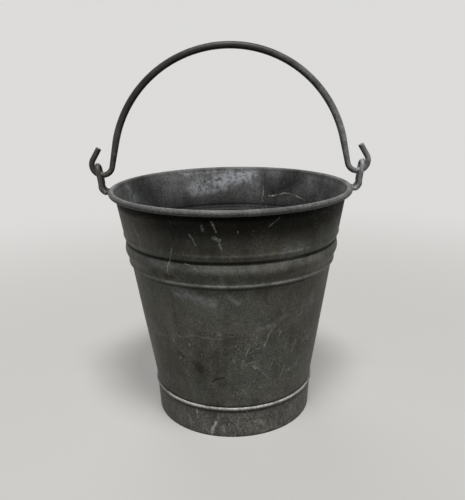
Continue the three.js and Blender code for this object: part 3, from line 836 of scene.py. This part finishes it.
class Paint:
    """The nodes of one material, ending in a Principled shader."""

    def __init__(self, name, metallic, specular):
        self.material = bpy.data.materials.new(name)
        self.material.use_nodes = True
        self.tree = self.material.node_tree
        self.shader = self.tree.nodes["Principled BSDF"]
        self.shader.inputs["Metallic"].default_value = metallic
        self.shader.inputs["Specular IOR Level"].default_value = specular
        self.place = self.node("ShaderNodeTexCoord").outputs["Object"]

    def set(self, socket, value):
        """Links a socket's value, or writes a plain one, with full opacity added to a colour."""
        if isinstance(value, bpy.types.NodeSocket):
            self.tree.links.new(value, socket)
        elif socket.type == "RGBA":
            socket.default_value = (*value, 1)
        else:
            socket.default_value = value

    def node(self, kind, inputs=None, **settings):
        """Adds a node with its settings and the values or links of its inputs."""
        node = self.tree.nodes.new(kind)
        for key, value in settings.items():
            setattr(node, key, value)
        for key, value in (inputs or {}).items():
            self.set(node.inputs[key], value)
        return node

    def math(self, operation, *values, clamp=False):
        inputs = dict(enumerate(values))
        return self.node("ShaderNodeMath", inputs, operation=operation, use_clamp=clamp).outputs["Value"]

    def vector(self, operation, first, second=(0, 0, 0), output="Vector"):
        inputs = {0: first, 1: second}
        return self.node("ShaderNodeVectorMath", inputs, operation=operation).outputs[output]

    def stretch(self, place, by, shift=(0, 0, 0)):
        """The place, moved and then stretched: a pattern is long along an axis where the factor is small."""
        return self.vector("MULTIPLY", self.vector("ADD", place, shift), by)

    def noise(self, settings, place=None):
        """A noise with its settings, at the object's own place where no other is given."""
        scale, detail, roughness, distortion = settings
        inputs = {"Vector": place or self.place, "Scale": scale, "Detail": detail,
                  "Roughness": roughness, "Distortion": distortion}
        return self.node("ShaderNodeTexNoise", inputs).outputs["Fac"]

    def spread(self, value, window, reach=WHOLE):
        """The reach's start where the value is below the window, its end above it, and smooth between."""
        inputs = {"Value": value, "From Min": window[0], "From Max": window[1],
                  "To Min": reach[0], "To Max": reach[1]}
        return self.node("ShaderNodeMapRange", inputs, interpolation_type="SMOOTHSTEP").outputs["Result"]

    def pattern(self, noise, window, reach=WHOLE):
        """A noise spread over its window and reach."""
        return self.spread(self.noise(noise), window, reach)

    def mix(self, share, first, second):
        inputs = {"Factor": share, MIX_FIRST: first, MIX_SECOND: second}
        return self.node("ShaderNodeMix", inputs, data_type="RGBA").outputs[MIX_RESULT]

    def scaled(self, value, by):
        """The colour or vector times a factor that varies over the surface."""
        return self.node("ShaderNodeVectorMath", {0: value, "Scale": by}, operation="SCALE").outputs["Vector"]

    def darkened(self, colour, shade_and_dirt):
        """The colour times one less the strength of the darkening: painted shade, and on the outside some
        dirt as well.
        """
        return self.scaled(colour, self.math("SUBTRACT", 1, shade_and_dirt))

    def chain(self, operation, values):
        """The values put together two by two from the first."""
        result = values[0]
        for value in values[1:]:
            result = self.math(operation, result, value)
        return result

    def total(self, *values):
        return self.chain("ADD", values)

    def product(self, *values):
        return self.chain("MULTIPLY", values)

    def most(self, *values):
        return self.chain("MAXIMUM", values)

    def blend(self, patterns, shares):
        """The sum of the patterns, each times its share."""
        return self.total(*[self.product(pattern, share) for pattern, share in zip(patterns, shares)])

    def finish(self, colour, roughness, relief=None, depth=0):
        """Gives the shader its colour, roughness and bumps, and returns the material."""
        self.set(self.shader.inputs["Base Color"], colour)
        self.set(self.shader.inputs["Roughness"], roughness)
        if relief is not None:
            bump = self.node("ShaderNodeBump", {"Height": relief, "Distance": depth, "Strength": 1})
            self.set(self.shader.inputs["Normal"], bump.outputs["Normal"])
        return self.material


class SheetPaint(Paint):
    """A sheet's finish, with its place on the unrolled wall, its height, and the mottling and fine grain that
    most of it is made of."""

    def __init__(self, name, mottle):
        super().__init__(name, SHEET_METALLIC, SHEET_SPECULAR)
        self.flat = self.node("ShaderNodeUVMap", uv_map="unrolled").outputs["UV"]
        self.height = self.node("ShaderNodeSeparateXYZ", {0: self.place}).outputs["Z"]
        self.mottle = self.noise(mottle)
        self.grain = self.noise(FINE_GRAIN)

    def runs(self, look):
        """Faint stains that run down the sheet."""
        return self.noise(look.run, self.stretch(self.place, look.run_stretch))

    def grained(self, colour, reach):
        """The colour made darker and lighter by the fine grain."""
        return self.scaled(colour, self.spread(self.grain, NOISE_WINDOW, reach))

    def mixed_grain(self):
        """Mottling and fine grain in even shares."""
        return self.blend((self.mottle, self.grain), EVEN)

    def zone(self, heights, strength=1):
        """The strength between the two middle heights, and 0 below the lowest and above the highest."""
        start, full, waning, end = heights
        return self.product(
            self.spread(self.height, (start, full)), self.spread(self.height, (waning, end), FADE), strength)

    def bent(self, scale, by):
        """The unrolled place pushed about by a coarse noise, so that strokes drawn on it waver."""
        inputs = {"Vector": self.place, "Scale": scale, "Detail": BEND_DETAIL}
        push = self.node("ShaderNodeTexNoise", inputs).outputs["Color"]
        centred = self.vector("SUBTRACT", push, (NOISE_MIDDLE, NOISE_MIDDLE, NOISE_MIDDLE))
        return self.vector("ADD", self.flat, self.vector("MULTIPLY", centred, (by, by, 0)))

    def stroke(self, place, start, end, width):
        """1 on the straight line from start to end on the unrolled wall, and 0 past half the width from it.
        Ends are (azimuth in degrees, height in millimetres)."""
        first, last = (Vector((np.radians(a) * PATTERN_RADIUS, h * MM, 0)) for a, h in (start, end))
        run = last - first
        offset = self.vector("SUBTRACT", place, first)
        share = self.vector("DOT_PRODUCT", offset, run / run.length_squared, "Value")
        share = self.math("MAXIMUM", share, 0, clamp=True)
        away = self.vector("DISTANCE", offset, self.scaled(run, share), "Value")
        return self.spread(away, (0, width * MM / 2), FADE)

    def marks(self, bend, table):
        """The strongest at each point of the strokes in a table of start, end, width and strength."""
        place = self.bent(*bend)
        return self.most(*[self.product(self.stroke(place, start, end, width), strength)
                           for start, end, width, strength in table])

    def finish_sheet(self, colour, roughness, look):
        """Finishes the material with the roughness pattern's reach and the relief of its settings."""
        relief = self.blend((self.mottle, self.grain), look.relief)
        return self.finish(colour, self.spread(roughness, NOISE_WINDOW, look.roughness), relief, look.depth)


def outside_base(paint, colours, look):
    """Dark zinc with clouds, mottling and faint runs, and a greenish cast in places."""
    tone = paint.blend((paint.noise(look.cloud), paint.mottle, paint.runs(look)), look.tone_shares)
    zinc = paint.mix(paint.spread(tone, TONE_WINDOW), colours.dark_zinc, colours.zinc)
    green = paint.scaled(colours.green_zinc, paint.spread(tone, TONE_WINDOW, look.green_reach))
    cast = paint.product(paint.pattern(*look.hue), look.hue_strength)
    return paint.grained(paint.mix(cast, zinc, green), look.grain_reach)


def outside_shade_and_dirt(paint, look):
    """Strength of the darkening: under the rim a painted shadow of the rim with some dirt, with a wavy lower
    edge and less of it to the left; painted shadow close under the roll, painted shade in the groove, painted
    shadow under the small bead at the step and painted shade in the crease just above the foot ring."""
    wave = paint.product(paint.math("SUBTRACT", paint.mottle, NOISE_MIDDLE), look.under_rim_wave)
    around = paint.node("ShaderNodeSeparateXYZ", {0: paint.flat}).outputs["X"]
    side = [np.radians(azimuth) * PATTERN_RADIUS for azimuth in look.under_rim_azimuths]
    under_rim = paint.product(
        paint.spread(paint.total(paint.height, wave), look.under_rim),
        paint.spread(around, side, look.under_rim_side_reach), look.under_rim_shade_and_dirt)
    return paint.most(
        under_rim, paint.zone(look.groove, look.groove_shade), paint.zone(look.step, look.step_shadow),
        paint.product(paint.spread(paint.height, look.crevice), look.crevice_shadow),
        paint.product(paint.spread(paint.height, look.seat, FADE), look.seat_shade))


def rib_highlight_and_wear(paint, look):
    """Strength of the painted highlight on the band's upper shoulder and on the small bead, with some rubbing
    on the bead, broken by the mottling.
    """
    ribs = paint.most(paint.zone(look.shoulder, look.shoulder_highlight), paint.zone(look.bead, look.bead_highlight_and_wear))
    return paint.product(ribs, paint.spread(paint.mottle, look.highlight_window, look.highlight_reach))


def outside_stains(paint, look):
    """Strength of the brown stains: the few that are placed, broken by the mottling."""
    stains = paint.spread(paint.marks(look.stain_bend, OUTSIDE_STAINS), look.stain_edge)
    return paint.product(stains, paint.spread(paint.mottle, look.stain_window, look.stain_reach))


def outside_chalk(paint, look):
    """Strength of the white oxide: broken scratches and flakes, specks, and slanting scuffs near the foot."""
    scratches = paint.product(
        paint.marks(look.scratch_bend, OUTSIDE_MARKS),
        paint.product(paint.pattern(*look.fine_break), paint.pattern(*look.coarse_break)))
    low = paint.zone(look.low_wall)
    patches = paint.pattern(*look.patch)
    specks = paint.product(
        paint.pattern(*look.speck), paint.spread(patches, WHOLE, look.patch_reach),
        paint.spread(low, WHOLE, look.low_reach), look.speck_strength)
    slanted = paint.node("ShaderNodeVectorRotate", {"Vector": paint.flat, "Angle": SCUFF_SLANT},
                         rotation_type="Z_AXIS").outputs["Vector"]
    lines = paint.noise(look.scuff, paint.stretch(slanted, look.scuff_stretch))
    scuffs = paint.product(paint.spread(lines, look.scuff_window), low, patches, look.scuff_strength)
    return paint.most(scratches, specks, scuffs)


def rim_highlight_and_wear(paint, colours, look):
    """Colour of the rolled rim: dull zinc with rubbed grains, lightened as painted highlight, brightest where
    the marks are.
    """
    brightening = paint.total(
        paint.spread(paint.mixed_grain(), look.bright_grain_window),
        paint.product(paint.marks(look.rim_bend, RIM_HIGHLIGHTS), look.rim_strength))
    return paint.mix(brightening, colours.rim_dark, colours.rim)


def outside_paint(colours):
    """Dark weathered zinc, darker and duller under painted shade with some dirt below the rim and in its
    creases, lightened by painted highlights with some rubbing on its ribs and rim, with brown stains, pale
    bloom and white oxide."""
    look = OUTSIDE
    paint = SheetPaint("weathered_zinc_outside", look.mottle)
    colour = outside_base(paint, colours, look)
    # The darkening is painted shade, with some dirt under the rim
    shade_and_dirt = outside_shade_and_dirt(paint, look)
    colour = paint.darkened(colour, shade_and_dirt)
    # Less shine where the shade is painted
    paint.set(paint.shader.inputs["Specular IOR Level"],
              paint.spread(shade_and_dirt, look.gloss_window, look.gloss_reach))
    # Painted highlights, with some rubbing, on the upward faces of the ribs
    colour = paint.mix(rib_highlight_and_wear(paint, look), colour, colours.bloom)
    colour = paint.mix(outside_stains(paint, look), colour, colours.rust)
    warm = paint.noise(look.warm, paint.stretch(paint.place, look.warm_stretch, look.warm_shift))
    colour = paint.mix(paint.spread(warm, look.warm_window, look.warm_reach), colour, colours.rust)
    bloom = paint.product(paint.marks(look.bloom_bend, OUTSIDE_BLOOM), paint.pattern(*look.bloom_flecks))
    colour = paint.mix(bloom, colour, colours.bloom)
    colour = paint.mix(outside_chalk(paint, look), colour, colours.chalk)
    # The rolled rim, lightened as painted highlight over rubbed zinc
    on_roll = paint.spread(paint.height, look.roll)
    colour = paint.mix(on_roll, colour, rim_highlight_and_wear(paint, colours, look))
    return paint.finish_sheet(colour, paint.mixed_grain(), look)


def inside_paint(colours):
    """Bluish zinc with pale clouds at the back, painted shade in dark zones to both sides and further down,
    dried runs and a broken chalky line."""
    look = INSIDE
    paint = SheetPaint("weathered_zinc_inside", look.mottle)
    cloud = paint.noise(look.cloud)
    tone = paint.blend((cloud, paint.mottle, paint.runs(look)), look.tone_shares)
    colour = paint.mix(paint.spread(tone, TONE_WINDOW), colours.dark_inside, colours.inside_zinc)
    colour = paint.grained(colour, look.grain_reach)
    # Painted shade: darker further down inside
    low = paint.product(
        paint.spread(paint.height, look.low, look.low_reach),
        paint.spread(paint.height, look.deep, look.deep_reach))
    # Dark zones of painted shade to both sides, together with the shade further down
    colour = paint.darkened(colour, paint.most(paint.marks(look.shade_bend, INSIDE_SHADE), low))
    flecks = paint.blend((paint.mottle, paint.noise(FLECKS)), look.bloom_shares)
    bloom = paint.product(
        paint.marks(look.bloom_bend, INSIDE_BLOOM), paint.spread(flecks, look.bloom_window, look.bloom_reach))
    colour = paint.mix(bloom, colour, colours.inside_bloom)
    line = paint.product(paint.marks(look.line_bend, INSIDE_MARKS), paint.pattern(*look.line_break))
    specks = paint.product(
        paint.pattern(*look.speck), paint.spread(cloud, look.speck_window, look.speck_reach),
        look.speck_strength)
    colour = paint.mix(paint.most(line, specks), colour, colours.chalk)
    return paint.finish_sheet(colour, paint.mottle, look)


def foot_paint(colours):
    """Weathered zinc of the foot ring, grainy, with broken white runs, a bead lightened as painted highlight
    with some rubbed zinc, painted shadow in the corner under the bead and painted shade along the lower edge."""
    look = FOOT
    paint = SheetPaint("weathered_zinc_foot", look.mottle)
    tone = paint.blend((paint.mottle, paint.runs(look)), look.tone_shares)
    colour = paint.mix(paint.spread(tone, TONE_WINDOW), colours.dark_foot, colours.foot)
    colour = paint.grained(colour, look.grain_reach)
    # Painted shadow under the bead and painted shade along the lower edge
    shade_and_dirt = paint.most(
        paint.zone(look.below_bead, look.below_bead_shadow),
        paint.product(paint.spread(paint.height, look.edge, FADE), look.edge_shade))
    colour = paint.darkened(colour, shade_and_dirt)
    # The bead lightened as painted highlight with some rubbed zinc
    brightening = paint.product(
        paint.spread(paint.height, look.bead),
        paint.spread(paint.mixed_grain(), look.bright_grain_window, look.brightening_reach))
    colour = paint.mix(brightening, colour, colours.rim)
    runs = paint.product(paint.marks(look.mark_bend, FOOT_MARKS), paint.pattern(*look.mark_break))
    specks = paint.product(paint.pattern(*look.speck), paint.pattern(*look.patch), look.speck_strength)
    colour = paint.mix(paint.most(runs, specks), colour, colours.chalk)
    return paint.finish_sheet(colour, paint.mottle, look)


def bottom_paint(colours):
    """Dirty zinc, mottled, darker towards its edge by the wall, with faint brown stains."""
    look = BOTTOM
    paint = Paint("weathered_zinc_floor", SHEET_METALLIC, SHEET_SPECULAR)
    cloud = paint.blend((paint.noise(look.cloud), paint.noise(look.mottle)), look.tone_shares)
    grain = paint.noise(FINE_GRAIN)
    colour = paint.mix(paint.spread(cloud, look.tone_window), colours.dark_inside, colours.inside_zinc)
    colour = paint.scaled(colour, paint.spread(grain, NOISE_WINDOW, look.grain_reach))
    # Darker towards the edge by the wall
    from_middle = paint.vector("LENGTH", paint.place, output="Value")
    colour = paint.scaled(colour, paint.spread(from_middle, look.edge_span, look.edge_reach))
    stains = paint.noise(look.stain, paint.vector("ADD", paint.place, look.stain_shift))
    colour = paint.mix(paint.spread(stains, look.stain_window, look.stain_reach), colour, colours.rust)
    relief = paint.blend((cloud, grain), look.relief)
    return paint.finish(colour, paint.spread(cloud, NOISE_WINDOW, look.roughness), relief, look.depth)


def wire_paint(name, colours, tones):
    """Dark drawn wire: mottled between two tones of the wire's colour, a little paler towards its lower ends,
    much paler and bluer to the right as painted light on the side the light falls on, and speckled with
    rubbed zinc."""
    look = WIRE
    paint = Paint(name, look.metallic, look.specular)
    mottle = paint.noise(look.mottle)
    grain = paint.noise(look.grain)
    where = paint.node("ShaderNodeSeparateXYZ", {0: paint.place})
    # Paler to the right: painted light on the side the light falls on
    to_right = paint.spread(where.outputs["X"], look.right)
    to_ends = paint.spread(where.outputs["Z"], look.ends, FADE)
    base = paint.mix(to_ends, colours.wire, colours.low_wire)
    base = paint.mix(to_right, base, colours.pale_wire)
    colour = paint.scaled(base, paint.spread(mottle, look.tone_window, tones))
    brightening = paint.product(
        paint.spread(grain, look.bright_grain_window), paint.pattern(*look.rub_patch),
        paint.spread(paint.most(to_right, to_ends), WHOLE, look.brightening_reach))
    colour = paint.mix(brightening, colour, colours.bloom)
    relief = paint.blend((mottle, grain), look.relief)
    return paint.finish(colour, paint.spread(mottle, NOISE_WINDOW, look.roughness), relief, look.depth)


def add_light(name, place, size, power):
    """A soft square lamp at a place, turned towards LAMP_AIM."""
    lamp = bpy.data.lights.new(name, "AREA")
    lamp.shape = "SQUARE"
    lamp.size = size
    lamp.energy = power
    lamp.color = WARM_WHITE
    holder = bpy.data.objects.new(name, lamp)
    direction = Vector(LAMP_AIM) - Vector(place)
    turn = direction.to_track_quat("-Z", "Y").to_matrix().to_4x4()
    holder.matrix_world = Matrix.Translation(place) @ turn
    bpy.context.scene.collection.objects.link(holder)


def add_camera():
    """The photograph's camera: its place, its turn about the upright, its tilt down and its small roll."""
    data = bpy.data.cameras.new("camera")
    data.sensor_fit = "HORIZONTAL"
    data.sensor_width = SENSOR_WIDTH
    data.lens = FOCAL_PIXELS / IMAGE_WIDTH * SENSOR_WIDTH
    data.clip_start = CLIP_START
    ahead = Vector((np.sin(CAMERA_YAW) * np.cos(CAMERA_PITCH), np.cos(CAMERA_YAW) * np.cos(CAMERA_PITCH),
                    -np.sin(CAMERA_PITCH)))
    level = Vector((np.cos(CAMERA_YAW), -np.sin(CAMERA_YAW), 0))
    upright = level.cross(ahead)
    right = np.cos(CAMERA_ROLL) * level + np.sin(CAMERA_ROLL) * upright
    up = np.cos(CAMERA_ROLL) * upright - np.sin(CAMERA_ROLL) * level
    turn = Matrix((right, up, -ahead)).transposed().to_4x4()
    camera = bpy.data.objects.new("camera", data)
    camera.matrix_world = Matrix.Translation(CAMERA_PLACE) @ turn
    bpy.context.scene.collection.objects.link(camera)
    bpy.context.scene.camera = camera


def add_floor(colours):
    """A wide flat disc under the bucket, plain and pale, which sends little light back up to the bucket and
    blends into the backdrop further out."""
    reach = np.append(np.geomspace(FLOOR_REACH, FLOOR_FIRST_RING, FLOOR_RINGS), 0)
    rings = np.stack([reach, np.zeros(len(reach))], axis=1)
    floor = add_surface("floor", revolve(rings, full_turn(FLOOR_COLUMNS)), (False, True))
    merge_poles(floor)
    paint = Paint("floor", 0, FLOOR_SPECULAR)
    rays = paint.node("ShaderNodeLightPath")
    dim = [FLOOR_BOUNCE * channel for channel in colours.floor]
    paint.finish(paint.mix(rays.outputs["Is Diffuse Ray"], colours.floor, dim), FLOOR_ROUGHNESS)
    glow = paint.node("ShaderNodeEmission", {"Color": WARM_WHITE, "Strength": WORLD_SEEN})
    seen = paint.most(*[rays.outputs[name] for name in SEEN_BY])
    distance = paint.vector("LENGTH", paint.place, output="Value")
    far = paint.product(seen, paint.spread(distance, GLOW_SPAN, GLOW_REACH))
    blend = paint.node("ShaderNodeMixShader", {0: far, 1: paint.shader.outputs[0], 2: glow.outputs[0]})
    paint.set(paint.tree.nodes["Material Output"].inputs["Surface"], blend.outputs[0])
    floor.data.materials.append(paint.material)


def add_world():
    """A dim even light all round, which the camera and reflections see as a pale backdrop."""
    world = bpy.data.worlds.new("studio")
    world.use_nodes = True
    bpy.context.scene.world = world
    nodes, links = world.node_tree.nodes, world.node_tree.links
    background = nodes["Background"]
    background.inputs["Color"].default_value = (*WARM_WHITE, 1)
    rays = nodes.new("ShaderNodeLightPath")
    seen = rays.outputs[SEEN_BY[0]]
    for name in SEEN_BY[1:]:
        either = nodes.new("ShaderNodeMath")
        either.operation = "MAXIMUM"
        links.new(seen, either.inputs[0])
        links.new(rays.outputs[name], either.inputs[1])
        seen = either.outputs[0]
    level = nodes.new("ShaderNodeMapRange")
    level.inputs["To Min"].default_value = WORLD_LIGHT
    level.inputs["To Max"].default_value = WORLD_SEEN
    links.new(seen, level.inputs["Value"])
    links.new(level.outputs[0], background.inputs["Strength"])


class BUCKET_OT_body(bpy.types.Operator):
    """Add the body: tapered wall with its ribs, rolled rim, seam and fold."""

    bl_idname = "bucket.body"
    bl_label = "Body"

    def execute(self, context):
        colours = context.scene.bucket_colours
        piece = body_surface(context.scene.bucket_sizes, (outside_paint(colours), inside_paint(colours)))
        install(piece, "body", "bucket", "galvanised_sheet")
        return {"FINISHED"}


class BUCKET_OT_base(bpy.types.Operator):
    """Add the foot ring and the bottom let into it."""

    bl_idname = "bucket.base"
    bl_label = "Foot ring and bottom"

    def execute(self, context):
        colours = context.scene.bucket_colours
        sizes = context.scene.bucket_sizes
        install(foot_surface(sizes), "foot_ring", "bucket", "foot_sheet", foot_paint(colours))
        install(bottom_surface(sizes), "bottom", "bucket", "bottom_sheet", bottom_paint(colours))
        return {"FINISHED"}


class BUCKET_OT_rim_wire(bpy.types.Operator):
    """Add the rim wire with its two ears."""

    bl_idname = "bucket.rim_wire"
    bl_label = "Rim wire and ears"

    def execute(self, context):
        paint = wire_paint("ear_wire", context.scene.bucket_colours, EAR_TONES)
        install(rim_wire_surface(context.scene.bucket_sizes), "rim_wire", "bucket", "ear_wire", paint)
        return {"FINISHED"}


class BUCKET_OT_bail(bpy.types.Operator):
    """Add the bail with its hooks."""

    bl_idname = "bucket.bail"
    bl_label = "Bail"

    def execute(self, context):
        paint = wire_paint("bail_wire", context.scene.bucket_colours, BAIL_TONES)
        install(bail_surface(context.scene.bucket_sizes), "bail", "bail", "bail_wire", paint)
        return {"FINISHED"}


class BUCKET_OT_stage(bpy.types.Operator):
    """Add the floor, the soft studio light and the camera."""

    bl_idname = "bucket.stage"
    bl_label = "Stage"

    def execute(self, context):
        context.scene.view_settings.view_transform = "Standard"
        add_world()
        add_floor(context.scene.bucket_colours)
        add_light("ceiling", LAMP_PLACE, LAMP_SIZE, LAMP_POWER)
        add_light("behind", BACK_LAMP_PLACE, BACK_LAMP_SIZE, BACK_LAMP_POWER)
        add_camera()
        return {"FINISHED"}


OPERATORS = (BUCKET_OT_body, BUCKET_OT_base, BUCKET_OT_rim_wire, BUCKET_OT_bail, BUCKET_OT_stage)


class BUCKET_PT_panel(bpy.types.Panel):
    """Lists the pieces, sizes and colours in the sidebar."""

    bl_idname = "BUCKET_PT_panel"
    bl_label = "Weathered Bucket"
    bl_space_type = "VIEW_3D"
    bl_region_type = "UI"
    bl_category = "Bucket"

    def draw(self, context):
        for operator in OPERATORS:
            self.layout.operator(operator.bl_idname)
        for group in (context.scene.bucket_sizes, context.scene.bucket_colours):
            for name in group.__annotations__:
                self.layout.prop(group, name)


CLASSES = (BucketSizes, BucketColours, *OPERATORS, BUCKET_PT_panel)


def register():
    for item in CLASSES:
        bpy.utils.register_class(item)
    bpy.types.Scene.bucket_sizes = PointerProperty(type=BucketSizes)
    bpy.types.Scene.bucket_colours = PointerProperty(type=BucketColours)


def unregister():
    del bpy.types.Scene.bucket_colours
    del bpy.types.Scene.bucket_sizes
    for item in reversed(CLASSES):
        bpy.utils.unregister_class(item)


def main():
    register()
    for operator in OPERATORS:
        group, name = operator.bl_idname.split(".")
        getattr(getattr(bpy.ops, group), name)()


if __name__ == "__main__":
    main()
